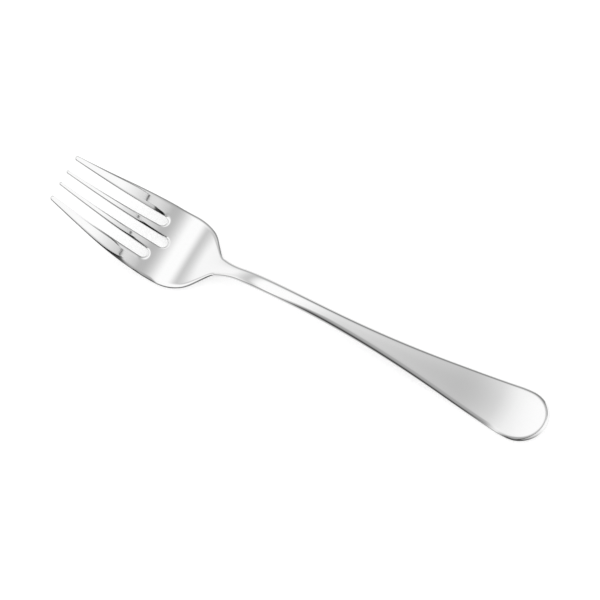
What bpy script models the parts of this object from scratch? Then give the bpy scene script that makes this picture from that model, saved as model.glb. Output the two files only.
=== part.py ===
"""Serving fork: one strip of stainless steel, blanked, rolled to thickness, pressed to shape and polished.

The fork lies on a table, tines towards -X and hollow side up, and rests on its palm and its handle end.
A station is a distance from the tine tips along the fork, a setback is a distance back from the handle end.
"""
import math

import bmesh
import bpy
import numpy as np

# Outline of the blank: its corners in order from the tine tips, each rounded by its radius
LENGTH = 0.2200
HEAD_WIDTH = 0.0349
HEAD_SIDE_STATION = 0.0356
HEAD_SIDE_RADIUS = 0.1700
PALM_SIDE_LENGTH = 0.0248
SHOULDER_RADIUS = 0.0193
SHOULDER_LENGTH = 0.0113
NECK_ROOT_WIDTH = 0.0103
NECK_ROOT_RADIUS = 0.0030
NECK_ROOT_LENGTH = 0.0056
NECK_WIDTH = 0.00640
NECK_RADIUS = 0.0250
TAPER_SETBACK = 0.0780
TAPER_RADIUS = 0.4860
BULB_SETBACK = 0.0147
BULB_RADIUS = 0.0390
HANDLE_WIDTH = 0.02365

# Tines and the slots between them
MIDDLE_SLOT_WIDTH = 0.00456
MIDDLE_SLOT_DEPTH = 0.0476
SIDE_SLOT_DEPTH = 0.0428
SIDE_SLOT_MOUTH_WIDTH = 0.0055
SIDE_SLOT_ROOT_WIDTH = 0.0044
INNER_TINE_TIP_WIDTH = 0.0014
INNER_TINE_ROOT_WIDTH = 0.0036
OUTER_TINE_TIP_WIDTH = 0.0020

# Rolled thickness
TIP_THICKNESS = 0.0013
PALM_THICKNESS = 0.0020
NECK_THICKNESS = 0.0033
END_THICKNESS = 0.0021
END_SWELL = 0.00085
END_SWELL_LENGTH = 0.0222
NECK_SWELL_STATION = 0.0567
NECK_SWELL_LENGTH = 0.0330
HANDLE_THIN_STATION = 0.0975

# Pressed curve: the slope that each stretch reaches, in degrees, and the bends between the stretches
TIP_SLOPE = -24.6
TINE_SLOPE = -13.8
PALM_SLOPE = 19.7
NECK_SLOPE = 1.8
TINE_BEND_STATION = 0.0264
TINE_BEND_LENGTH = 0.0466
PALM_BEND_STATION = 0.0576
PALM_BEND_LENGTH = 0.0357
NECK_BEND_STATION = 0.0823
NECK_BEND_LENGTH = 0.0289
ARCH_BEND_STATION = 0.1052
ARCH_BEND_LENGTH = 0.0483
HANDLE_BEND_SETBACK = 0.0251
HANDLE_BEND_LENGTH = 0.0321

# Polished forms: soft crowns across the tines and the handle, rounded edges and worn flats underneath
TINE_CROWN = 0.00005
CROWN_FADE = 0.0200
HANDLE_CROWN = 0.0004
HEAD_EDGE_RADIUS = 0.00028
HANDLE_EDGE_RADIUS = 0.0011
LOWER_EDGE_SHARE = 0.60
SOLE_DEPTH = 0.00004

# Fineness of the mesh
ROW_SPACING = 0.0045
ROW_TURN = math.radians(8)
TIP_ROWS = 2
END_ROWS = 6
MIDDLE_WEB_COLUMNS = 3
INNER_TINE_COLUMNS = 2
SIDE_WEB_COLUMNS = 6
OUTER_TINE_COLUMNS = 3
EDGE_SEGMENTS = 2
EDGE_ROOM = 4.0
ROOM_SHARE = 0.60
EDGE_SHARE = 0.42
ROOT_FADE = 3.0
CORNER_POINTS = 24
END_CORNER = math.radians(45)
END_ROOM = 1.3
TIP_ROOM = 1.2
PROBE = 0.0003
PROBE_COUNT = 2000
SHARP_ANGLE = math.radians(50)
WELD = 0.000001

STEEL_COLOUR = (0.72, 0.72, 0.73, 1.0)
STEEL_ROUGHNESS = 0.12


# Smooth steps

def smooth(share):
    """Ease from 0 to 1 while the share goes from 0 to 1."""
    share = np.clip(share, 0.0, 1.0)
    return share * share * (3.0 - 2.0 * share)


def smooth_area(share):
    """Area under smooth up to a share."""
    inside = np.clip(share, 0.0, 1.0)
    return inside**3 - inside**4 / 2.0 + np.maximum(share - 1.0, 0.0)


def mix(start, end, share):
    return start + (end - start) * share


# Outline of one half of the blank

def rounded(corners):
    """Line through (station, half width, radius) corners, rounded by arcs that the legs have room for."""
    points = [np.array(corner[:2]) for corner in corners]
    legs = [np.linalg.norm(b - a) for a, b in zip(points, points[1:])]
    ways = [(b - a) / leg for a, b, leg in zip(points, points[1:], legs)]
    turns = [math.acos(np.clip(a @ b, -1.0, 1.0)) for a, b in zip(ways, ways[1:])]
    cuts = [0.0] + [corner[2] * math.tan(turn / 2) for corner, turn in zip(corners[1:], turns)] + [0.0]
    room = [min(1.0, leg / max(a + b, WELD)) for leg, a, b in zip(legs, cuts, cuts[1:])]
    line = [points[0]]
    for index, turn in enumerate(turns, start=1):
        fit = min(room[index - 1], room[index])
        start = points[index] - ways[index - 1] * cuts[index] * fit
        bend = ways[index] - ways[index - 1] * math.cos(turn)
        bend = bend / max(np.linalg.norm(bend), WELD)
        for angle in np.linspace(0.0, turn, CORNER_POINTS):
            along = ways[index - 1] * math.sin(angle)
            across = bend * (1.0 - math.cos(angle))
            line.append(start + (along + across) * corners[index][2] * fit)
    line.append(points[-1])
    return np.array(line)


END_RADIUS = HANDLE_WIDTH / 2
TIP_STRIPS = (MIDDLE_SLOT_WIDTH / 2, INNER_TINE_TIP_WIDTH, SIDE_SLOT_MOUTH_WIDTH, OUTER_TINE_TIP_WIDTH)
TIP_EDGES = np.cumsum(TIP_STRIPS)
SHOULDER_STATION = HEAD_SIDE_STATION + PALM_SIDE_LENGTH
NECK_ROOT_STATION = SHOULDER_STATION + SHOULDER_LENGTH
NECK_STATION = NECK_ROOT_STATION + NECK_ROOT_LENGTH
SIDE = rounded([
    (0.0, TIP_EDGES[-1], 0.0),
    (HEAD_SIDE_STATION, HEAD_WIDTH / 2, HEAD_SIDE_RADIUS),
    (SHOULDER_STATION, HEAD_WIDTH / 2, SHOULDER_RADIUS),
    (NECK_ROOT_STATION, NECK_ROOT_WIDTH / 2, NECK_ROOT_RADIUS),
    (NECK_STATION, NECK_WIDTH / 2, NECK_RADIUS),
    (LENGTH - TAPER_SETBACK, NECK_WIDTH / 2, TAPER_RADIUS),
    (LENGTH - BULB_SETBACK, HANDLE_WIDTH / 2, BULB_RADIUS),
    (LENGTH - END_RADIUS, END_RADIUS, 0.0),
])


def half_width(station):
    return np.interp(station, SIDE[:, 0], SIDE[:, 1])


# Rolled thickness and pressed curve

def handle_share(station):
    """Share of the handle's section in the one at a station: 0 on the head, 1 from the neck on."""
    return smooth((station - NECK_SWELL_STATION) / NECK_SWELL_LENGTH)


def thickness(station):
    tines = mix(TIP_THICKNESS, PALM_THICKNESS, smooth(station / SIDE_SLOT_DEPTH))
    neck = (NECK_THICKNESS - PALM_THICKNESS) * handle_share(station)
    thinning = smooth((station - HANDLE_THIN_STATION) / (LENGTH - HANDLE_THIN_STATION))
    return tines + neck + (END_THICKNESS - NECK_THICKNESS) * thinning


def end_swell(station):
    """How far the upper face is raised at the handle end, above the rolled thickness."""
    share = np.clip((station - LENGTH) / END_SWELL_LENGTH + 1.0, 0.0, 1.0)
    return END_SWELL * share**2


def bend_share(bend, station):
    middle, length = bend
    return smooth((station - middle) / length + 0.5)


def bend_rise(bend, station):
    middle, length = bend
    return length * smooth_area((station - middle) / length + 0.5)


def gradient_of(slope):
    return math.tan(math.radians(slope))


TINE_BEND = (TINE_BEND_STATION, TINE_BEND_LENGTH)
PALM_BEND = (PALM_BEND_STATION, PALM_BEND_LENGTH)
NECK_BEND = (NECK_BEND_STATION, NECK_BEND_LENGTH)
ARCH_BEND = (ARCH_BEND_STATION, ARCH_BEND_LENGTH)
HANDLE_BEND = (LENGTH - HANDLE_BEND_SETBACK, HANDLE_BEND_LENGTH)


def press_steps(handle_gradient):
    """Each bend with the change of gradient that it makes; the handle end lies level."""
    gradients = [gradient_of(slope) for slope in (TIP_SLOPE, TINE_SLOPE, PALM_SLOPE, NECK_SLOPE)]
    gradients += [handle_gradient, 0.0]
    changes = np.diff(gradients)
    return list(zip((TINE_BEND, PALM_BEND, NECK_BEND, ARCH_BEND, HANDLE_BEND), changes))


def curve_height(steps, station):
    rise = gradient_of(TIP_SLOPE) * station
    for bend, change in steps:
        rise = rise + change * bend_rise(bend, station)
    return rise


def underside_drop(steps):
    """How far the handle end's underside lies below the palm's, and the height of the palm's."""
    stations = np.linspace(0.0, NECK_STATION, PROBE_COUNT)
    palm = np.min(curve_height(steps, stations) - thickness(stations) / 2)
    handle = curve_height(steps, LENGTH) - thickness(LENGTH) / 2
    return palm - handle, palm


def level_steps():
    """The handle falls at the gradient that brings its end down to the table that the palm rests on."""
    flat_drop = underside_drop(press_steps(0.0))[0]
    unit_drop = underside_drop(press_steps(-1.0))[0] - flat_drop
    return press_steps(flat_drop / unit_drop)


STEPS = level_steps()
TABLE_HEIGHT = underside_drop(STEPS)[1] + SOLE_DEPTH


def gradient(station):
    slope = gradient_of(TIP_SLOPE)
    for bend, change in STEPS:
        slope = slope + change * bend_share(bend, station)
    return slope


def middle_height(station):
    return curve_height(STEPS, station) - TABLE_HEIGHT


# Strips of the plan: half of the web behind the middle slot, a tine, the web behind a side slot, a tine

MIDDLE_WEB, INNER_TINE, SIDE_WEB, OUTER_TINE = range(4)
COLUMNS = (MIDDLE_WEB_COLUMNS, INNER_TINE_COLUMNS, SIDE_WEB_COLUMNS, OUTER_TINE_COLUMNS)
SIDE_ROOT = SIDE_SLOT_DEPTH - SIDE_SLOT_ROOT_WIDTH / 2
MIDDLE_ROOT = MIDDLE_SLOT_DEPTH - MIDDLE_SLOT_WIDTH / 2
ROOT_EDGES = np.cumsum([MIDDLE_SLOT_WIDTH / 2, INNER_TINE_ROOT_WIDTH, SIDE_SLOT_ROOT_WIDTH])
ROOTS = {MIDDLE_WEB: (MIDDLE_ROOT, MIDDLE_SLOT_WIDTH / 2), SIDE_WEB: (SIDE_ROOT, SIDE_SLOT_ROOT_WIDTH / 2)}
PALM_STATION = max(SIDE_SLOT_DEPTH, MIDDLE_SLOT_DEPTH)


def tine_share(station):
    """Share of the tines' crown at a station: 1 towards the tips, 0 at the slot roots."""
    return smooth((SIDE_ROOT - station) / CROWN_FADE)


def edge_radius(station):
    """Radius of the rounded edges, kept inside what the wall at the side has room for."""
    tip = mix(TIP_THICKNESS / PALM_THICKNESS, 1.0, smooth(station / SIDE_SLOT_DEPTH))
    radius = mix(HEAD_EDGE_RADIUS * tip, HANDLE_EDGE_RADIUS, handle_share(station))
    crown = HANDLE_CROWN * handle_share(station) + TINE_CROWN * tine_share(station)
    wall = thickness(station) + end_swell(station) - crown - SOLE_DEPTH
    return min(radius, EDGE_SHARE * wall)


def head_lines(station):
    """Half widths of the slots' sides and of the outline on the head."""
    edges = mix(TIP_EDGES[:-1], ROOT_EDGES, station / SIDE_ROOT)
    return (0.0, *edges, half_width(station))


def root_angle(strip, column):
    """Angle round a slot's root at which a column of the web behind it starts."""
    start = math.pi / 2 if strip == MIDDLE_WEB else 0.0
    return mix(start, math.pi, column / COLUMNS[strip])


def head_share(strip, column):
    """Share of a strip's width at which a column lies on the head."""
    if strip in ROOTS:
        start = math.cos(root_angle(strip, 0))
        return (start - math.cos(root_angle(strip, column))) / (start + 1)
    return column / COLUMNS[strip]


def column_offset(station, strip, column):
    """Half width of a column: in its strip on the head, spread evenly inside the edges on the handle."""
    base = min(station, PALM_STATION)
    low, high = head_lines(base)[strip:strip + 2]
    width = half_width(station)
    head = mix(low, high, head_share(strip, column)) * width / half_width(base)
    count = sum(COLUMNS[:strip]) + column
    last = sum(COLUMNS)
    inside = width - min(EDGE_ROOM * edge_radius(station), ROOM_SHARE * width)
    handle = width if count == last else inside * count / (last - 1)
    return mix(head, handle, smooth((station - PALM_STATION) / (NECK_ROOT_STATION - PALM_STATION)))


def round_end(radius, straight, reach, across):
    """Point of a strip whose end is an arc: distance from the end there and at the side, and the half width.

    Reach goes from 0 at a straight row to 1 on the arc, and across from 0 in the middle to 1 at the side."""
    corner_depth = 1 - math.cos(END_CORNER)
    side = mix(straight, radius * corner_depth, reach)
    middle = mix(straight, 0.0, reach)
    depth = 1 - math.sqrt(1 - (across * math.sin(END_CORNER))**2)
    distance = mix(middle, side, depth / corner_depth)
    short = max(radius - side, 0.0)
    return distance, side, math.sqrt(radius**2 - short**2)


def side_turn(station):
    """How fast the outline turns at a station."""
    ahead = half_width(station + PROBE) - half_width(station)
    back = half_width(station) - half_width(station - PROBE)
    return np.abs(np.arctan(ahead / PROBE) - np.arctan(back / PROBE)) / PROBE


def curve_turn(station):
    """How fast the pressed curve turns at a station."""
    return np.abs(np.arctan(gradient(station + PROBE)) - np.arctan(gradient(station))) / PROBE


def row_stations(start, end):
    """Stations of rows, closer where the outline or the curve turns."""
    fine = np.linspace(start, end, PROBE_COUNT)
    density = 1 / ROW_SPACING + (side_turn(fine) + curve_turn(fine)) / ROW_TURN
    count = np.concatenate([[0.0], np.cumsum((density[1:] + density[:-1]) / 2 * np.diff(fine))])
    rows = math.ceil(count[-1])
    return np.interp(np.linspace(0.0, count[-1], rows + 1), count, fine)


END_STRAIGHT = LENGTH - END_ROOM * END_RADIUS
TIP_STRAIGHT = TIP_ROOM * max(INNER_TINE_TIP_WIDTH, OUTER_TINE_TIP_WIDTH)


def all_rows():
    """Rows as (kind, value): a reach for the rounded tips and the rounded end, otherwise a station."""
    rows = [("tip", 1 - index / TIP_ROWS) for index in range(TIP_ROWS)]
    breaks = [TIP_STRAIGHT, min(SIDE_ROOT, MIDDLE_ROOT), max(SIDE_ROOT, MIDDLE_ROOT), END_STRAIGHT]
    for start, end in zip(breaks, breaks[1:]):
        rows += [("plain", station) for station in row_stations(start, end)[:-1]]
    rows.append(("plain", END_STRAIGHT))
    rows += [("end", (index + 1) / END_ROWS) for index in range(END_ROWS)]
    return rows


ROWS = all_rows()


def first_row(station):
    """Index of the row that stands at a slot root."""
    stations = [value if kind == "plain" else -1.0 for kind, value in ROWS]
    return int(np.argmin(np.abs(np.array(stations) - station)))


def plan_point(row, strip, column):
    """Station and half width of a column at a row."""
    kind, value = ROWS[row]
    if kind == "tip":
        low, high = head_lines(0.0)[strip:strip + 2]
        radius = (high - low) / 2
        across = 2 * column / COLUMNS[strip] - 1
        distance, side, half = round_end(radius, TIP_STRAIGHT, value, abs(across))
        low, high = head_lines(side)[strip:strip + 2]
        half = half if side < radius else (high - low) / 2
        return distance, (low + high) / 2 + across * half
    if kind == "end":
        across = column_offset(END_STRAIGHT, strip, column) / half_width(END_STRAIGHT)
        distance, side, half = round_end(END_RADIUS, LENGTH - END_STRAIGHT, value, across)
        half = half if side < END_RADIUS else half_width(LENGTH - side)
        return LENGTH - distance, across * half
    bulge = 0.0
    if strip in ROOTS:
        root, radius = ROOTS[strip]
        fade = max(0.0, 1 - (value - root) / (ROOT_FADE * radius))
        bulge = radius * math.sin(root_angle(strip, column)) * fade
    return value + bulge, column_offset(value, strip, column)


def add_strip(sheet, layer, strip):
    """Grid of quads over a strip, from the tine tip or the slot root to the handle end."""
    start = first_row(ROOTS[strip][0]) if strip in ROOTS else 0
    rows = len(ROWS) - 1 - start
    columns = COLUMNS[strip]
    grid = bmesh.ops.create_grid(sheet, x_segments=rows, y_segments=columns, size=0.5)
    for vert in grid["verts"]:
        row = start + round((vert.co.x + 0.5) * rows)
        column = round((vert.co.y + 0.5) * columns)
        vert[layer] = 0.0 if strip in ROOTS else 2 * column / columns - 1
        vert.co = (*plan_point(row, strip, column), 0.0)


def half_blank(sheet, layer):
    for strip in range(len(COLUMNS)):
        add_strip(sheet, layer, strip)
    bmesh.ops.remove_doubles(sheet, verts=sheet.verts[:], dist=WELD)


# Forming

WIDEST_EDGE = max(HEAD_EDGE_RADIUS, HANDLE_EDGE_RADIUS)


def crown_drop(station, offset, across):
    """How far the upper face falls towards the sides of the handle and of each tine."""
    wide = min(abs(offset) / half_width(station), 1.0)
    return HANDLE_CROWN * handle_share(station) * wide**2 + TINE_CROWN * tine_share(station) * across**2


def formed(station, offset, across, side):
    """Place of a point of the blank's upper (side 1) or lower (side -1) face on the pressed fork."""
    slope = gradient(station)
    lift = side * thickness(station) / 2
    if side > 0:
        lift += end_swell(station) - crown_drop(station, offset, across)
    steep = math.hypot(1.0, slope)
    height = middle_height(station) + lift / steep
    return station - LENGTH / 2 - slope * lift / steep, offset, max(height, 0.0)


def is_wall(face, upper):
    """Whether a face joins the upper and the lower face at the side of the blank."""
    return len({vert in upper for vert in face.verts}) == 2


def weigh_edges(sheet, upper):
    """Give each edge of the walls its share of the widest edge radius, less on the underside."""
    weights = sheet.edges.layers.float.new("bevel_weight_edge")
    for edge in sheet.edges:
        walls = {is_wall(face, upper) for face in edge.link_faces}
        if len(walls) == 2:
            middle = (edge.verts[0].co.x + edge.verts[1].co.x) / 2
            share = 1.0 if edge.verts[0] in upper else LOWER_EDGE_SHARE
            edge[weights] = share * edge_radius(middle) / WIDEST_EDGE


def fork_mesh():
    """The blank, raised to a plate and pressed to shape."""
    sheet = bmesh.new()
    layer = sheet.verts.layers.float.new("across")
    half_blank(sheet, layer)
    bmesh.ops.mirror(sheet, geom=sheet.verts[:] + sheet.edges[:] + sheet.faces[:], axis="Y", merge_dist=WELD)
    raised = bmesh.ops.extrude_face_region(sheet, geom=sheet.faces[:], use_keep_orig=True)
    upper = {item for item in raised["geom"] if isinstance(item, bmesh.types.BMVert)}
    weigh_edges(sheet, upper)
    for vert in sheet.verts:
        side = 1 if vert in upper else -1
        vert.co = formed(vert.co.x, vert.co.y, vert[layer], side)
    bmesh.ops.recalc_face_normals(sheet, faces=sheet.faces[:])
    mesh = bpy.data.meshes.new("serving_fork")
    sheet.to_mesh(mesh)
    sheet.free()
    return mesh


def polished_steel():
    steel = bpy.data.materials.new("polished_stainless_steel")
    steel.use_nodes = True
    shader = steel.node_tree.nodes["Principled BSDF"]
    shader.inputs["Base Color"].default_value = STEEL_COLOUR
    shader.inputs["Metallic"].default_value = 1.0
    shader.inputs["Roughness"].default_value = STEEL_ROUGHNESS
    return steel


def add_fork(collection):
    mesh = fork_mesh()
    mesh.shade_smooth()
    mesh.set_sharp_from_angle(angle=SHARP_ANGLE)
    mesh.materials.append(polished_steel())
    fork = bpy.data.objects.new("serving_fork", mesh)
    collection.objects.link(fork)
    edges = fork.modifiers.new("rounded_edges", "BEVEL")
    edges.limit_method = "WEIGHT"
    edges.width = WIDEST_EDGE
    edges.segments = EDGE_SEGMENTS
    edges.use_clamp_overlap = False
    return fork


def main():
    for item in list(bpy.data.objects):
        bpy.data.objects.remove(item, do_unlink=True)
    collection = bpy.data.collections.new("serving_fork")
    bpy.context.scene.collection.children.link(collection)
    add_fork(collection)


main()
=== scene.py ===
"""Looks of the serving fork: mirror polished steel on a pale floor in soft studio light.

A station is a distance from the tine tips along the fork, and a setback is one back from the handle end.
The blank is drawn as (station, offset from the middle, height in its thickness) and then pressed to shape.
"""
import math

import bmesh
import bpy
import numpy as np
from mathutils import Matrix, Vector


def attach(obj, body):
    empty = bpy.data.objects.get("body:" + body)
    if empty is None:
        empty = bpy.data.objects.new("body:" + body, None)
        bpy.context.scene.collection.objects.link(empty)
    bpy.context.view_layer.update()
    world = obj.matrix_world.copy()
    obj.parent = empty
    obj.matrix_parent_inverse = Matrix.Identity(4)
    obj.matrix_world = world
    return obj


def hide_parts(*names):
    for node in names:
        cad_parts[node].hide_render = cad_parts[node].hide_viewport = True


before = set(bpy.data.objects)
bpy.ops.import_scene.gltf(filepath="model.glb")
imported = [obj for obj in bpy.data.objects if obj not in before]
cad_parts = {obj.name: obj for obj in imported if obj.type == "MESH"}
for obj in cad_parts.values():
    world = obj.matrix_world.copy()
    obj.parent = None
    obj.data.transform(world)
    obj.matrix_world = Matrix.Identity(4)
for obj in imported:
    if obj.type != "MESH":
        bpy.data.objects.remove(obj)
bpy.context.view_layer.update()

# Outline of the blank: its corners in order from the tine tips, each rounded by its radius
LENGTH = 0.2200
HEAD_WIDTH = 0.0349
HEAD_SIDE_STATION = 0.0356
HEAD_SIDE_RADIUS = 0.1700
PALM_SIDE_LENGTH = 0.0248
SHOULDER_RADIUS = 0.0193
SHOULDER_LENGTH = 0.0113
NECK_ROOT_WIDTH = 0.0103
NECK_ROOT_RADIUS = 0.0030
NECK_ROOT_LENGTH = 0.0056
NECK_WIDTH = 0.00640
NECK_RADIUS = 0.0250
TAPER_SETBACK = 0.0780
TAPER_RADIUS = 0.4860
BULB_SETBACK = 0.0147
BULB_RADIUS = 0.0390
HANDLE_WIDTH = 0.02365

# Tines and the slots between them
MIDDLE_SLOT_WIDTH = 0.00456
MIDDLE_SLOT_DEPTH = 0.0476
SIDE_SLOT_DEPTH = 0.0428
SIDE_SLOT_MOUTH_WIDTH = 0.0055
SIDE_SLOT_ROOT_WIDTH = 0.0044
INNER_TINE_TIP_WIDTH = 0.0014
INNER_TINE_ROOT_WIDTH = 0.0036
OUTER_TINE_TIP_WIDTH = 0.0020

# Rolled thickness
TIP_THICKNESS = 0.0013
PALM_THICKNESS = 0.0020
NECK_THICKNESS = 0.0033
END_THICKNESS = 0.0021
END_SWELL = 0.00085
END_SWELL_LENGTH = 0.0222
NECK_SWELL_STATION = 0.0567
NECK_SWELL_LENGTH = 0.0330
HANDLE_THIN_STATION = 0.0975

# Pressed curve: the slope that each stretch reaches, in degrees, and the bends between the stretches
TIP_SLOPE = -24.6
TINE_SLOPE = -13.8
PALM_SLOPE = 19.7
NECK_SLOPE = 1.8
TINE_BEND_STATION = 0.0264
TINE_BEND_LENGTH = 0.0466
PALM_BEND_STATION = 0.0576
PALM_BEND_LENGTH = 0.0357
NECK_BEND_STATION = 0.0823
NECK_BEND_LENGTH = 0.0289
ARCH_BEND_STATION = 0.1052
ARCH_BEND_LENGTH = 0.0483
HANDLE_BEND_SETBACK = 0.0251
HANDLE_BEND_LENGTH = 0.0321

# Polished forms: the upper edges roll off less deeply than the lower ones, which are nearly full rounds
HANDLE_CROWN = 0.0006
TINE_EDGE_DEPTH = 0.00037
PALM_EDGE_DEPTH = 0.00060
HANDLE_EDGE_DEPTH = 0.00062
UPPER_EDGE_TURN = math.radians(60)
LOWER_EDGE_TURN = math.radians(90)
TIP_EDGE_WIDTH = 0.00035
INNER_EDGE_WIDTH = 0.0010
OUTER_EDGE_WIDTH = 0.0020
HANDLE_EDGE_WIDTH = 0.0020
LOWER_EDGE_WIDTH_SHARE = 0.85
LOWER_EDGE_DEPTH_SHARE = 0.92
SOLE_DEPTH = 0.00004
EDGE_SHARE = 0.42

# Fineness of the mesh
ROW_SPACING = 0.0016
ROW_TURN = math.radians(3)
TIP_ROWS = 6
END_ROWS = 14
MIDDLE_WEB_COLUMNS = 8
INNER_TINE_COLUMNS = 5
SIDE_WEB_COLUMNS = 14
OUTER_TINE_COLUMNS = 7
ROOT_FADE = 3.0
CORNER_POINTS = 48
END_CORNER = math.radians(45)
END_ROOM = 1.3
TIP_ROOM = 1.2
EDGE_STEPS = 10
EDGE_MARGIN = 0.00008
PROBE = 0.0003
PROBE_COUNT = 4000
WELD = 0.000001
GRID_HALF = 0.5

# Steel: levels, and noises given as their stretch along the axes, their scale and their detail
STEEL_COLOUR = 0.80
STEEL_VARIATION = 0.01
POLISH_ROUGHNESS = 0.035
HAZE = 0.012
HAZE_NOISE = ((1.0, 1.6, 1.6), 55.0, 4.0)
LINE_NOISE = ((1.0, 60.0, 20.0), 120.0, 3.0)
LINE_START = (0.62, 0.16)
LINE_ROUGHNESS = 0.02
LINE_DEPTH = 0.15
WAVE_NOISE = ((1.0, 1.3, 1.3), 160.0, 1.0)
WAVE_DEPTH = 0.0000015

# Floor and world
WHITE = (1.0, 1.0, 1.0, 1.0)
WORLD_STRENGTH = 1.0
FLOOR_REACH = 6.0
FLOOR_HEIGHT = -0.0001
FLOOR_COLOUR = (0.62, 0.62, 0.62, 1.0)
FLOOR_LIFT = 0.50

# Light ceiling, which only the steel sees; soft steps are given as their middle and their width
CEILING_HEIGHT = 0.90
CEILING_LOW = (-5.0, -2.7)
CEILING_HIGH = (2.4, 7.0)

# Panels left of the dark joint, in order along the fork
END_LEVEL = 0.25
END_STOP = (-2.1, 0.6)
LEFT_LEVEL = 1.16
LEFT_STOP = (-0.69, 0.42)
DIP_LEVEL = 0.72
MAIN_LEVEL = 1.22
MAIN_START = (-0.405, 0.24)
MAIN_STOP = (-0.021, 0.28)
MIDDLE_LEVEL = 0.60
STRIP_LEVEL = 0.90
STRIP_START = (0.160, 0.06)

# Their near shade and the deep wedge in it
NEAR_LEVEL = 0.48
NEAR_TURN = -0.03
NEAR_EDGE = 0.04
NEAR_LEAN = 4.2
NEAR_ROOM = 0.35
NEAR_WIDTH = 0.34
NEAR_SOFTNESS = 1.0
DEEP_LEVEL = 0.08
DEEP_TURN = 0.19
DEEP_EDGE = 0.295
DEEP_LEAN = 9.5
DEEP_ROOM = 0.157
DEEP_WIDTH = 0.08
DEEP_SOFTNESS = 3.0
NEAR_RISE = (-0.60, 0.20)

# Dark flag on the near side of all panels, with a lighter stretch beyond it
FLAG_LEVEL = 0.08
FLAG_TURN = -0.10
FLAG_EDGE = -0.50
FLAG_LEAN = 4.3
FLAG_ROOM = 0.13
FLAG_WIDTH = 0.50
FLAG_SOFTNESS = 0.0
FLAG_STOP = (-1.30, 0.30)
BEYOND_LEVEL = 0.65

# Far shade of the left panels
FAR_LEVEL = 0.55
FAR_FALL = (-0.40, 0.30)
FAR_DARK = 0.30
FAR_STOP = (1.10, 1.20)

# Panel right of the dark joint
RIGHT_LOW = 0.72
RIGHT_LEVEL = 1.20
RIGHT_RISE = (0.257, 0.18)
RIGHT_START = (-0.10, 0.80)
RIGHT_NEAR = 0.48
RIGHT_STOP = (0.68, 0.45)
RIGHT_FAR = 0.36
RIGHT_OPEN = (0.42, 0.10)

# Dark joint, which leans, opens like a fan towards its ends and fades out at the far one
GAP_PLACE = 0.195
GAP_ACROSS = 0.3525
GAP_LOW = 0.335
GAP_HIGH = 0.42
GAP_LEAN = 0.40
GAP_FAR_LEAN = 0.12
GAP_HALF_WIDTH = 0.0034
GAP_NEAR_SPREAD = 0.03
GAP_FAR_SPREAD = 0.032
GAP_SOFTNESS = 0.0020
GAP_LEVEL = 0.08
GAP_END = (1.25, 0.50)
JOINT_WIDTH = 0.0015

# Camera, as the photograph's
CAMERA_AZIMUTH = math.radians(27.985)
CAMERA_ELEVATION = math.radians(64.0)
CAMERA_DISTANCE = 1.5396
CAMERA_TARGET = Vector((-0.001906, 0.001599, 0.006080))
CAMERA_LENS = 229.25
CAMERA_SENSOR = 36.0


# Smooth steps

def smooth(share):
    """Ease from 0 to 1 while the share goes from 0 to 1."""
    share = np.clip(share, 0.0, 1.0)
    return share * share * (3.0 - 2.0 * share)


def smooth_area(share):
    """Area under smooth up to a share."""
    inside = np.clip(share, 0.0, 1.0)
    return inside**3 - inside**4 / 2.0 + np.maximum(share - 1.0, 0.0)


def mix(start, end, share):
    return start + (end - start) * share


# Outline of one half of the blank

def rounded(corners):
    """Line through (station, half width, radius) corners, rounded by arcs that the legs have room for."""
    points = [np.array(corner[:2]) for corner in corners]
    legs = [np.linalg.norm(b - a) for a, b in zip(points, points[1:])]
    ways = [(b - a) / leg for a, b, leg in zip(points, points[1:], legs)]
    turns = [math.acos(np.clip(a @ b, -1.0, 1.0)) for a, b in zip(ways, ways[1:])]
    cuts = [0.0] + [corner[2] * math.tan(turn / 2) for corner, turn in zip(corners[1:], turns)] + [0.0]
    room = [min(1.0, leg / max(a + b, WELD)) for leg, a, b in zip(legs, cuts, cuts[1:])]
    line = [points[0]]
    for index, turn in enumerate(turns, start=1):
        fit = min(room[index - 1], room[index])
        start = points[index] - ways[index - 1] * cuts[index] * fit
        bend = ways[index] - ways[index - 1] * math.cos(turn)
        bend = bend / max(np.linalg.norm(bend), WELD)
        for angle in np.linspace(0.0, turn, CORNER_POINTS):
            along = ways[index - 1] * math.sin(angle)
            across = bend * (1.0 - math.cos(angle))
            line.append(start + (along + across) * corners[index][2] * fit)
    line.append(points[-1])
    return np.array(line)


END_RADIUS = HANDLE_WIDTH / 2
TIP_STRIPS = (MIDDLE_SLOT_WIDTH / 2, INNER_TINE_TIP_WIDTH, SIDE_SLOT_MOUTH_WIDTH, OUTER_TINE_TIP_WIDTH)
TIP_EDGES = np.cumsum(TIP_STRIPS)
SHOULDER_STATION = HEAD_SIDE_STATION + PALM_SIDE_LENGTH
NECK_ROOT_STATION = SHOULDER_STATION + SHOULDER_LENGTH
NECK_STATION = NECK_ROOT_STATION + NECK_ROOT_LENGTH
SIDE = rounded([
    (0.0, TIP_EDGES[-1], 0.0),
    (HEAD_SIDE_STATION, HEAD_WIDTH / 2, HEAD_SIDE_RADIUS),
    (SHOULDER_STATION, HEAD_WIDTH / 2, SHOULDER_RADIUS),
    (NECK_ROOT_STATION, NECK_ROOT_WIDTH / 2, NECK_ROOT_RADIUS),
    (NECK_STATION, NECK_WIDTH / 2, NECK_RADIUS),
    (LENGTH - TAPER_SETBACK, NECK_WIDTH / 2, TAPER_RADIUS),
    (LENGTH - BULB_SETBACK, HANDLE_WIDTH / 2, BULB_RADIUS),
    (LENGTH - END_RADIUS, END_RADIUS, 0.0),
])


def half_width(station):
    return np.interp(station, SIDE[:, 0], SIDE[:, 1])


# Rolled thickness and pressed curve

def handle_share(station):
    """Share of the handle's section in the one at a station: 0 on the head, 1 from the neck on."""
    return smooth((station - NECK_SWELL_STATION) / NECK_SWELL_LENGTH)


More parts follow.
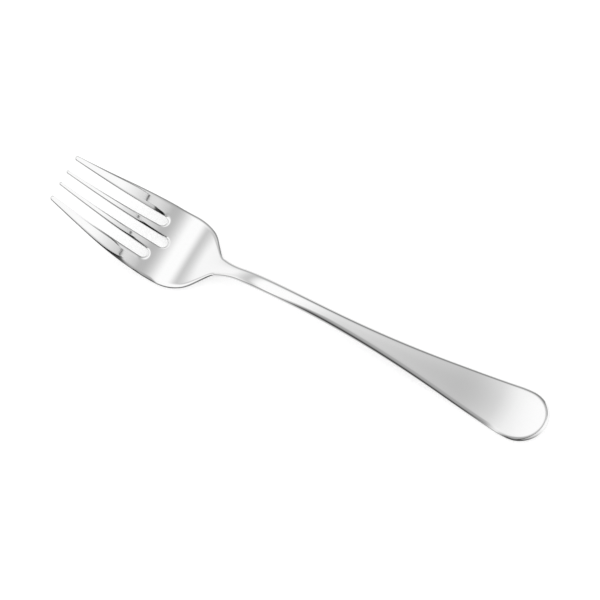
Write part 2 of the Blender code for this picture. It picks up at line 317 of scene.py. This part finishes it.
def thickness(station):
    tines = mix(TIP_THICKNESS, PALM_THICKNESS, smooth(station / SIDE_SLOT_DEPTH))
    neck = (NECK_THICKNESS - PALM_THICKNESS) * handle_share(station)
    thinning = smooth((station - HANDLE_THIN_STATION) / (LENGTH - HANDLE_THIN_STATION))
    return tines + neck + (END_THICKNESS - NECK_THICKNESS) * thinning


def end_swell(station):
    """How far the upper face is raised at the handle end, above the rolled thickness."""
    share = np.clip((station - LENGTH) / END_SWELL_LENGTH + 1.0, 0.0, 1.0)
    return END_SWELL * share**2


def bend_share(bend, station):
    middle, length = bend
    return smooth((station - middle) / length + 0.5)


def bend_rise(bend, station):
    middle, length = bend
    return length * smooth_area((station - middle) / length + 0.5)


def gradient_of(slope):
    return math.tan(math.radians(slope))


TINE_BEND = (TINE_BEND_STATION, TINE_BEND_LENGTH)
PALM_BEND = (PALM_BEND_STATION, PALM_BEND_LENGTH)
NECK_BEND = (NECK_BEND_STATION, NECK_BEND_LENGTH)
ARCH_BEND = (ARCH_BEND_STATION, ARCH_BEND_LENGTH)
HANDLE_BEND = (LENGTH - HANDLE_BEND_SETBACK, HANDLE_BEND_LENGTH)


def press_steps(handle_gradient):
    """Each bend with the change of gradient that it makes; the handle end lies level."""
    gradients = [gradient_of(slope) for slope in (TIP_SLOPE, TINE_SLOPE, PALM_SLOPE, NECK_SLOPE)]
    gradients += [handle_gradient, 0.0]
    changes = np.diff(gradients)
    return list(zip((TINE_BEND, PALM_BEND, NECK_BEND, ARCH_BEND, HANDLE_BEND), changes))


def curve_height(steps, station):
    rise = gradient_of(TIP_SLOPE) * station
    for bend, change in steps:
        rise = rise + change * bend_rise(bend, station)
    return rise


def underside_drop(steps):
    """How far the handle end's underside lies below the palm's, and the height of the palm's."""
    stations = np.linspace(0.0, NECK_STATION, PROBE_COUNT)
    palm = np.min(curve_height(steps, stations) - thickness(stations) / 2)
    handle = curve_height(steps, LENGTH) - thickness(LENGTH) / 2
    return palm - handle, palm


def level_steps():
    """The handle falls at the gradient that brings its end down to the table that the palm rests on."""
    flat_drop = underside_drop(press_steps(0.0))[0]
    unit_drop = underside_drop(press_steps(-1.0))[0] - flat_drop
    return press_steps(flat_drop / unit_drop)


STEPS = level_steps()
TABLE_HEIGHT = underside_drop(STEPS)[1] + SOLE_DEPTH


def gradient(station):
    slope = gradient_of(TIP_SLOPE)
    for bend, change in STEPS:
        slope = slope + change * bend_share(bend, station)
    return slope


def middle_height(station):
    return curve_height(STEPS, station) - TABLE_HEIGHT


# Rounded edges: the flat faces stop short of the outline by the edge width

# Strips of the half blank, numbered outwards: the middle web, the inner tine, the side web, the outer tine
MIDDLE_WEB, SIDE_WEB = 0, 2
COLUMNS = (MIDDLE_WEB_COLUMNS, INNER_TINE_COLUMNS, SIDE_WEB_COLUMNS, OUTER_TINE_COLUMNS)
SIDE_ROOT = SIDE_SLOT_DEPTH - SIDE_SLOT_ROOT_WIDTH / 2
MIDDLE_ROOT = MIDDLE_SLOT_DEPTH - MIDDLE_SLOT_WIDTH / 2
ROOT_EDGES = np.cumsum([MIDDLE_SLOT_WIDTH / 2, INNER_TINE_ROOT_WIDTH, SIDE_SLOT_ROOT_WIDTH])
PALM_STATION = max(SIDE_SLOT_DEPTH, MIDDLE_SLOT_DEPTH)


def edge_depth(station):
    """How far down the upper rounded edges reach, kept inside what the wall has room for."""
    tip = mix(TIP_THICKNESS / PALM_THICKNESS, 1.0, smooth(station / SIDE_SLOT_DEPTH))
    palm = smooth((station - SIDE_ROOT) / (PALM_STATION - SIDE_ROOT))
    head = mix(TINE_EDGE_DEPTH * tip, PALM_EDGE_DEPTH, palm)
    depth = mix(head, HANDLE_EDGE_DEPTH, handle_share(station))
    wall = thickness(station) + end_swell(station) - HANDLE_CROWN * handle_share(station) - SOLE_DEPTH
    return np.minimum(depth, EDGE_SHARE * wall)


def edge_widths(station):
    """How far in from the outline the rounded edges start, at the inner and at the outer tines."""
    share = np.minimum(station / SIDE_ROOT, 1.0)
    inner = mix(mix(TIP_EDGE_WIDTH, INNER_EDGE_WIDTH, share), HANDLE_EDGE_WIDTH, handle_share(station))
    outer = mix(mix(TIP_EDGE_WIDTH, OUTER_EDGE_WIDTH, share), HANDLE_EDGE_WIDTH, handle_share(station))
    return inner, outer


def inset_side():
    """The outline moved in by the edge width and its margin."""
    way = np.gradient(SIDE, axis=0)
    way = way / np.maximum(np.linalg.norm(way, axis=1), WELD)[:, None]
    inward = np.stack([way[:, 1], -way[:, 0]], axis=1)
    return SIDE + inward * (edge_widths(SIDE[:, 0])[1] + EDGE_MARGIN)[:, None]


INSET = inset_side()
TIP_INSET = TIP_EDGE_WIDTH + EDGE_MARGIN
END_INSET = HANDLE_EDGE_WIDTH + EDGE_MARGIN
ROOTS = {
    MIDDLE_WEB: (MIDDLE_ROOT, MIDDLE_SLOT_WIDTH / 2 + INNER_EDGE_WIDTH + EDGE_MARGIN),
    SIDE_WEB: (SIDE_ROOT, (SIDE_SLOT_ROOT_WIDTH + INNER_EDGE_WIDTH + OUTER_EDGE_WIDTH) / 2 + EDGE_MARGIN),
}


def inset_width(station):
    return np.interp(station, INSET[:, 0], INSET[:, 1])


def head_lines(station):
    """Half widths of the flat faces' sides along the slots and the outline on the head."""
    middle, inner, outer = mix(TIP_EDGES[:-1], ROOT_EDGES, station / SIDE_ROOT)
    inner_inset, outer_inset = np.array(edge_widths(station)) + EDGE_MARGIN
    return 0.0, middle + inner_inset, inner - inner_inset, outer + outer_inset, inset_width(station)


def edge_width(station, offset):
    """Width of the rounded edge at a place on the rim; round a side slot it passes from tine to tine."""
    low, high = head_lines(min(station, SIDE_ROOT))[SIDE_WEB:SIDE_WEB + 2]
    inner, outer = edge_widths(station)
    return float(mix(inner, outer, np.clip((abs(offset) - low) / (high - low), 0.0, 1.0)))


# Plan of the flat faces

def root_angle(strip, column):
    """Angle round a slot's root at which a column of the web behind it starts."""
    start = math.pi / 2 if strip == MIDDLE_WEB else 0.0
    return mix(start, math.pi, column / COLUMNS[strip])


def head_share(strip, column):
    """Share of a strip's width at which a column lies on the head."""
    if strip in ROOTS:
        start = math.cos(root_angle(strip, 0))
        return (start - math.cos(root_angle(strip, column))) / (start + 1)
    return column / COLUMNS[strip]


def column_offset(station, strip, column):
    """Half width of a column: in its strip on the head, spread evenly on the handle."""
    base = min(station, PALM_STATION)
    low, high = head_lines(base)[strip:strip + 2]
    width = inset_width(station)
    head = mix(low, high, head_share(strip, column)) * width / inset_width(base)
    handle = width * (sum(COLUMNS[:strip]) + column) / sum(COLUMNS)
    return mix(head, handle, smooth((station - PALM_STATION) / (NECK_ROOT_STATION - PALM_STATION)))


def round_end(radius, straight, reach, across):
    """Point of a strip whose end is an arc: distance from the end there and at the side, and the half width.

    Reach goes from 0 at a straight row to 1 on the arc, and across from 0 in the middle to 1 at the side."""
    corner_depth = 1 - math.cos(END_CORNER)
    side = mix(straight, radius * corner_depth, reach)
    middle = mix(straight, 0.0, reach)
    depth = 1 - math.sqrt(1 - (across * math.sin(END_CORNER))**2)
    distance = mix(middle, side, depth / corner_depth)
    short = max(radius - side, 0.0)
    return distance, side, math.sqrt(radius**2 - short**2)


def side_turn(station):
    """How fast the outline turns at a station."""
    ahead = half_width(station + PROBE) - half_width(station)
    back = half_width(station) - half_width(station - PROBE)
    return np.abs(np.arctan(ahead / PROBE) - np.arctan(back / PROBE)) / PROBE


def curve_turn(station):
    """How fast the pressed curve turns at a station."""
    return np.abs(np.arctan(gradient(station + PROBE)) - np.arctan(gradient(station))) / PROBE


def row_stations(start, end):
    """Stations of rows, closer where the outline or the curve turns."""
    fine = np.linspace(start, end, PROBE_COUNT)
    density = 1 / ROW_SPACING + (side_turn(fine) + curve_turn(fine)) / ROW_TURN
    count = np.concatenate([[0.0], np.cumsum((density[1:] + density[:-1]) / 2 * np.diff(fine))])
    rows = math.ceil(count[-1])
    return np.interp(np.linspace(0.0, count[-1], rows + 1), count, fine)


END_STRAIGHT = LENGTH - END_ROOM * END_RADIUS
TIP_STRAIGHT = TIP_ROOM * max(INNER_TINE_TIP_WIDTH, OUTER_TINE_TIP_WIDTH)


def all_rows():
    """Rows as (kind, value): a reach for the rounded tips and the rounded end, otherwise a station."""
    rows = [("tip", 1 - (index / TIP_ROWS)**2) for index in range(TIP_ROWS)]
    breaks = [TIP_STRAIGHT, min(SIDE_ROOT, MIDDLE_ROOT), max(SIDE_ROOT, MIDDLE_ROOT), END_STRAIGHT]
    for start, end in zip(breaks, breaks[1:]):
        rows += [("plain", station) for station in row_stations(start, end)[:-1]]
    rows.append(("plain", END_STRAIGHT))
    rows += [("end", 1 - (1 - (index + 1) / END_ROWS)**2) for index in range(END_ROWS)]
    return rows


ROWS = all_rows()


def first_row(station):
    """Index of the row that stands at a slot root."""
    stations = [value if kind == "plain" else math.inf for kind, value in ROWS]
    return int(np.argmin(np.abs(np.array(stations) - station)))


def plan_point(row, strip, column):
    """Station and half width of a column at a row."""
    kind, value = ROWS[row]
    if kind == "tip":
        low, high = head_lines(0.0)[strip:strip + 2]
        radius = (high - low) / 2
        across = 2 * column / COLUMNS[strip] - 1
        distance, side, half = round_end(radius, TIP_STRAIGHT - TIP_INSET, value, abs(across))
        low, high = head_lines(side + TIP_INSET)[strip:strip + 2]
        half = half if side < radius else (high - low) / 2
        return distance + TIP_INSET, (low + high) / 2 + across * half
    if kind == "end":
        across = column_offset(END_STRAIGHT, strip, column) / inset_width(END_STRAIGHT)
        radius = END_RADIUS - END_INSET
        distance, side, half = round_end(radius, LENGTH - END_STRAIGHT - END_INSET, value, across)
        half = half if side < radius else inset_width(LENGTH - END_INSET - side)
        return LENGTH - END_INSET - distance, across * half
    bulge = 0.0
    if strip in ROOTS:
        root, radius = ROOTS[strip]
        fade = max(0.0, 1 - (value - root) / (ROOT_FADE * radius))
        bulge = radius * math.sin(root_angle(strip, column)) * fade
    return value + bulge, column_offset(value, strip, column)


def add_strip(sheet, strip):
    """Grid of quads over a strip, from the tine tip or the slot root to the handle end."""
    start = first_row(ROOTS[strip][0]) if strip in ROOTS else 0
    rows = len(ROWS) - 1 - start
    columns = COLUMNS[strip]
    grid = bmesh.ops.create_grid(sheet, x_segments=rows, y_segments=columns, size=GRID_HALF)
    for vert in grid["verts"]:
        row = start + round((vert.co.x + GRID_HALF) * rows)
        column = round((vert.co.y + GRID_HALF) * columns)
        vert.co = (*plan_point(row, strip, column), 0.0)


# Body of the blank

def face_height(station, offset, side):
    """Height of the upper (side 1) or lower (side -1) face; the handle's upper face is crowned."""
    if side < 0:
        return -thickness(station) / 2
    wide = min(abs(offset) / half_width(station), 1.0)
    return thickness(station) / 2 + end_swell(station) - HANDLE_CROWN * handle_share(station) * wide**2


def outward(vert):
    """Direction in the plan that points off the sheet at a vertex of its rim."""
    total = Vector((0.0, 0.0, 0.0))
    for edge in vert.link_edges:
        if edge.is_boundary:
            way = (edge.verts[1].co - edge.verts[0].co).normalized()
            normal = Vector((way.y, -way.x, 0.0))
            middle = (edge.verts[0].co + edge.verts[1].co) / 2
            inside = edge.link_faces[0].calc_center_median() - middle
            total += normal if normal.dot(inside) < 0 else -normal
    return total.normalized()


def rim_points(vert):
    """Points down both rounded edges at a vertex of the rim, from the upper to the lower face."""
    way = outward(vert)
    widest, deep = edge_width(vert.co.x, vert.co.y), float(edge_depth(vert.co.x))
    outline = vert.co + way * (EDGE_MARGIN + widest)
    wall = face_height(outline.x, outline.y, 1) - face_height(outline.x, outline.y, -1) - deep
    upper = (1, widest, deep, UPPER_EDGE_TURN)
    lower = (-1, widest * LOWER_EDGE_WIDTH_SHARE, wall * LOWER_EDGE_DEPTH_SHARE, LOWER_EDGE_TURN)
    points = []
    for side, width, depth, turn in (upper, lower):
        arc = []
        for step in range(EDGE_STEPS + 1):
            angle = turn * step / EDGE_STEPS
            out = widest - width + width * math.sin(angle) / math.sin(turn)
            place = vert.co + way * (EDGE_MARGIN + out)
            drop = depth * (1 - math.cos(angle)) / (1 - math.cos(turn))
            height = face_height(place.x, place.y, side) - side * drop
            arc.append((place.x, place.y, height))
        points += arc if side > 0 else arc[::-1]
    return points


def pressed(station, offset, height):
    """Place on the pressed fork of a point of the blank."""
    slope = gradient(station)
    steep = math.hypot(1.0, slope)
    level = middle_height(station) + height / steep
    return station - LENGTH / 2 - slope * height / steep, offset, max(level, 0.0)


def fork_mesh():
    """The blank with its rounded edges, pressed to shape."""
    sheet = bmesh.new()
    for strip in range(len(COLUMNS)):
        add_strip(sheet, strip)
    bmesh.ops.remove_doubles(sheet, verts=sheet.verts[:], dist=WELD)
    bmesh.ops.mirror(sheet, geom=sheet.verts[:] + sheet.edges[:] + sheet.faces[:], axis="Y", merge_dist=WELD)
    rim_ends = [tuple(edge.verts) for edge in sheet.edges if edge.is_boundary]
    rim_verts = dict.fromkeys(vert for ends in rim_ends for vert in ends)
    chains = {vert: rim_points(vert) for vert in rim_verts}
    upper = sheet.verts[:]
    copied = bmesh.ops.duplicate(sheet, geom=sheet.verts[:] + sheet.edges[:] + sheet.faces[:])
    lower = copied["vert_map"]
    for vert in upper:
        lower[vert].co.z = face_height(vert.co.x, vert.co.y, -1)
        vert.co.z = face_height(vert.co.x, vert.co.y, 1)
    for vert, points in chains.items():
        chains[vert] = [vert, *(sheet.verts.new(point) for point in points), lower[vert]]
    for start, end in rim_ends:
        for a, b, c, d in zip(chains[start], chains[end], chains[end][1:], chains[start][1:]):
            sheet.faces.new((a, b, c, d))
    for vert in sheet.verts:
        vert.co = pressed(*vert.co)
    bmesh.ops.recalc_face_normals(sheet, faces=sheet.faces[:])
    mesh = bpy.data.meshes.new("polished_fork")
    sheet.to_mesh(mesh)
    sheet.free()
    mesh.shade_smooth()
    return mesh


# Materials

class Paint:
    """Shorthand for building a node tree."""

    def __init__(self, tree):
        self.tree = tree

    def add(self, kind, inputs=(), **settings):
        """New node with its settings and its inputs, each a value or the output of another node."""
        node = self.tree.nodes.new(kind)
        for name, value in settings.items():
            setattr(node, name, value)
        for name, value in dict(inputs).items():
            if isinstance(value, bpy.types.NodeSocket):
                self.tree.links.new(value, node.inputs[name])
            else:
                node.inputs[name].default_value = value
        return node

    def calc(self, operation, first, second=0.0):
        """Result of a maths node on one or two values."""
        return self.add("ShaderNodeMath", {0: first, 1: second}, operation=operation).outputs[0]

    def step(self, value, middle, width, low=0.0, high=1.0):
        """Soft step of a value from low to high, about its middle and over its width."""
        limits = {"Value": value, "From Min": middle - width / 2, "From Max": middle + width / 2}
        limits.update({"To Min": low, "To Max": high})
        return self.add("ShaderNodeMapRange", limits, interpolation_type="SMOOTHSTEP").outputs["Result"]

    def blend(self, share, low, high):
        limits = {"Factor": share, "A": low, "B": high}
        return self.add("ShaderNodeMix", limits, data_type="FLOAT").outputs["Result"]

    def noise(self, place, stretch, scale, detail):
        """Noise on a place that is first stretched along the axes."""
        scaled = self.add("ShaderNodeVectorMath", {0: place, 1: stretch}, operation="MULTIPLY")
        inputs = {"Vector": scaled.outputs["Vector"], "Scale": scale, "Detail": detail}
        return self.add("ShaderNodeTexNoise", inputs).outputs["Fac"]


def polished_steel():
    """Mirror polish with fine lengthwise buffing lines, some of them rougher, faint haze and slight waves."""
    steel = bpy.data.materials.new("polished_stainless_steel")
    steel.use_nodes = True
    paint = Paint(steel.node_tree)
    shader = steel.node_tree.nodes["Principled BSDF"]
    place = paint.add("ShaderNodeTexCoord").outputs["Object"]
    lines = paint.noise(place, *LINE_NOISE)
    haze = paint.noise(place, *HAZE_NOISE)
    waves = paint.noise(place, *WAVE_NOISE)
    shade = paint.blend(lines, STEEL_COLOUR - STEEL_VARIATION, STEEL_COLOUR + STEEL_VARIATION)
    grey = paint.add("ShaderNodeCombineColor", {"Red": shade, "Green": shade, "Blue": shade})
    rough = paint.blend(haze, POLISH_ROUGHNESS - HAZE, POLISH_ROUGHNESS + HAZE)
    rough = paint.calc("ADD", rough, paint.step(lines, *LINE_START, 0.0, LINE_ROUGHNESS))
    height = paint.calc("ADD", waves, paint.calc("MULTIPLY", lines, LINE_DEPTH))
    bump = paint.add("ShaderNodeBump", {"Height": height, "Distance": WAVE_DEPTH}).outputs["Normal"]
    steel.node_tree.links.new(grey.outputs["Color"], shader.inputs["Base Color"])
    steel.node_tree.links.new(rough, shader.inputs["Roughness"])
    steel.node_tree.links.new(bump, shader.inputs["Normal"])
    shader.inputs["Metallic"].default_value = 1.0
    return steel


def add_fork():
    fork = bpy.data.objects.new("polished_fork", fork_mesh())
    fork.data.materials.append(polished_steel())
    bpy.context.scene.collection.objects.link(fork)
    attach(fork, "root")
    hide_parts("serving_fork")


# Studio

def add_sheet(name, low, high, height, material):
    """Flat sheet of the studio, from its low to its high corner."""
    corners = [(low[0], low[1]), (high[0], low[1]), (high[0], high[1]), (low[0], high[1])]
    mesh = bpy.data.meshes.new(name)
    mesh.from_pydata([(*corner, height) for corner in corners], [], [tuple(range(len(corners)))])
    mesh.materials.append(material)
    sheet = bpy.data.objects.new(name, mesh)
    bpy.context.scene.collection.objects.link(sheet)
    return sheet


def seen_share(paint):
    """1 for the rays that see a backdrop: from the camera, off metal and through glass."""
    path = paint.add("ShaderNodeLightPath").outputs
    share = paint.calc("MAXIMUM", path["Is Camera Ray"], path["Is Glossy Ray"])
    return paint.calc("MAXIMUM", share, path["Is Transmission Ray"])


def floor_paint():
    """Pale floor that keeps shadows and is lifted to white where it is seen."""
    material = bpy.data.materials.new("floor_paint")
    material.use_nodes = True
    paint = Paint(material.node_tree)
    shader = material.node_tree.nodes["Principled BSDF"]
    shader.inputs["Base Color"].default_value = FLOOR_COLOUR
    shader.inputs["Roughness"].default_value = 1.0
    shader.inputs["Specular IOR Level"].default_value = 0.0
    shader.inputs["Emission Color"].default_value = WHITE
    lift = paint.calc("MULTIPLY", seen_share(paint), FLOOR_LIFT)
    material.node_tree.links.new(lift, shader.inputs["Emission Strength"])
    return material


def shaded_edge(paint, place, edge):
    """1 inside a leaning near edge of the panels and 0 beyond it; left of its turn it recedes and softens."""
    turn, middle, lean, most, width, softness = edge
    room = paint.calc("MAXIMUM", paint.calc("SUBTRACT", turn, place["X"]), 0.0)
    room = paint.calc("MINIMUM", room, most)
    inside = paint.calc("ADD", paint.calc("SUBTRACT", place["Y"], middle), paint.calc("MULTIPLY", room, lean))
    soft = paint.calc("ADD", paint.calc("MULTIPLY", room, softness), width)
    return paint.step(paint.calc("DIVIDE", inside, soft), 0.0, 1.0)


def left_panels(paint, place):
    """Level left of the dark joint: a row of panels, dimmed on the near side, in a deep wedge and far off."""
    along, across = place["X"], place["Y"]
    level = paint.step(along, *STRIP_START, MIDDLE_LEVEL, STRIP_LEVEL)
    steps = ((MAIN_STOP, MAIN_LEVEL), (MAIN_START, DIP_LEVEL), (LEFT_STOP, LEFT_LEVEL), (END_STOP, END_LEVEL))
    for stop, before in steps:
        level = paint.blend(paint.step(along, *stop, 1.0, 0.0), level, before)
    near = shaded_edge(paint, place, (NEAR_TURN, NEAR_EDGE, NEAR_LEAN, NEAR_ROOM, NEAR_WIDTH, NEAR_SOFTNESS))
    deep = shaded_edge(paint, place, (DEEP_TURN, DEEP_EDGE, DEEP_LEAN, DEEP_ROOM, DEEP_WIDTH, DEEP_SOFTNESS))
    shaded = paint.blend(deep, DEEP_LEVEL, paint.blend(near, NEAR_LEVEL, level))
    level = paint.blend(paint.step(along, *NEAR_RISE), level, shaded)
    far = paint.step(along, *FAR_FALL, FAR_LEVEL, FAR_DARK)
    return paint.blend(paint.step(across, *FAR_STOP), level, far)


def right_panel(paint, place):
    """Level right of the dark joint: one panel, dimmed on the near side and in a far corner."""
    along, across = place["X"], place["Y"]
    level = paint.step(along, *RIGHT_RISE, RIGHT_LOW, RIGHT_LEVEL)
    level = paint.blend(paint.step(across, *RIGHT_START), RIGHT_NEAR, level)
    far = paint.calc("MULTIPLY", paint.step(across, *RIGHT_STOP), paint.step(along, *RIGHT_OPEN, 1.0, 0.0))
    return paint.blend(far, level, RIGHT_FAR)


def joint_lines(paint, place):
    """A place's distance along, with the dark joint's lean taken off, and how far the joint opens there."""
    along, across = place["X"], place["Y"]
    under = paint.calc("MAXIMUM", paint.calc("SUBTRACT", GAP_LOW, across), 0.0)
    over = paint.calc("MAXIMUM", paint.calc("SUBTRACT", across, GAP_HIGH), 0.0)
    middle = paint.calc("MINIMUM", paint.calc("MAXIMUM", across, GAP_LOW), GAP_HIGH)
    lean = paint.calc("MULTIPLY", paint.calc("SUBTRACT", middle, GAP_ACROSS), GAP_LEAN)
    lean = paint.calc("ADD", lean, paint.calc("MULTIPLY", over, GAP_FAR_LEAN))
    near_spread = paint.calc("MULTIPLY", under, GAP_NEAR_SPREAD)
    far_spread = paint.calc("MULTIPLY", over, GAP_FAR_SPREAD)
    return paint.calc("SUBTRACT", along, lean), paint.calc("ADD", near_spread, far_spread)


def ceiling_light():
    """Light ceiling: panels left and right of a dark joint, with a dark flag on their near side."""
    material = bpy.data.materials.new("ceiling_light")
    material.use_nodes = True
    tree = material.node_tree
    tree.nodes.remove(tree.nodes["Principled BSDF"])
    paint = Paint(tree)
    spot = paint.add("ShaderNodeTexCoord").outputs["Object"]
    place = paint.add("ShaderNodeSeparateXYZ", {0: spot}).outputs
    edge = (FLAG_TURN, FLAG_EDGE, FLAG_LEAN, FLAG_ROOM, FLAG_WIDTH, FLAG_SOFTNESS)
    inside = shaded_edge(paint, place, edge)
    flag = paint.step(place["Y"], *FLAG_STOP, BEYOND_LEVEL, FLAG_LEVEL)
    left = paint.blend(inside, flag, left_panels(paint, place))
    right = paint.blend(inside, flag, right_panel(paint, place))
    past, spread = joint_lines(paint, place)
    level = paint.blend(paint.step(past, GAP_PLACE, JOINT_WIDTH), left, right)
    gap = paint.calc("SUBTRACT", paint.calc("ABSOLUTE", paint.calc("SUBTRACT", past, GAP_PLACE)), spread)
    shade = paint.step(gap, GAP_HALF_WIDTH, GAP_SOFTNESS, GAP_LEVEL, 1.0)
    shade = paint.blend(paint.step(place["Y"], *GAP_END), shade, 1.0)
    light = paint.add("ShaderNodeEmission", {"Strength": paint.calc("MULTIPLY", level, shade)})
    tree.links.new(light.outputs["Emission"], tree.nodes["Material Output"].inputs["Surface"])
    return material


def add_studio():
    """Floor, and a ceiling that the steel reflects; the even light on the rest comes from the world."""
    add_sheet("floor", (-FLOOR_REACH, -FLOOR_REACH), (FLOOR_REACH, FLOOR_REACH), FLOOR_HEIGHT, floor_paint())
    ceiling = add_sheet("ceiling_light", CEILING_LOW, CEILING_HIGH, CEILING_HEIGHT, ceiling_light())
    ceiling.visible_camera = False
    ceiling.visible_diffuse = False
    ceiling.visible_shadow = False


def add_world():
    world = bpy.data.worlds.new("studio")
    world.use_nodes = True
    bpy.context.scene.world = world
    background = world.node_tree.nodes["Background"]
    background.inputs["Color"].default_value = WHITE
    background.inputs["Strength"].default_value = WORLD_STRENGTH


def add_camera():
    data = bpy.data.cameras.new("camera")
    data.lens = CAMERA_LENS
    data.sensor_width = CAMERA_SENSOR
    camera = bpy.data.objects.new("camera", data)
    flat, rise = math.cos(CAMERA_ELEVATION), math.sin(CAMERA_ELEVATION)
    back = Vector((math.sin(CAMERA_AZIMUTH) * flat, -math.cos(CAMERA_AZIMUTH) * flat, rise))
    camera.location = CAMERA_TARGET + back * CAMERA_DISTANCE
    camera.rotation_mode = "QUATERNION"
    camera.rotation_quaternion = (-back).to_track_quat("-Z", "Y")
    bpy.context.scene.collection.objects.link(camera)
    bpy.context.scene.camera = camera


add_fork()
add_studio()
add_world()
add_camera()
bpy.context.scene.view_settings.view_transform = "Standard"
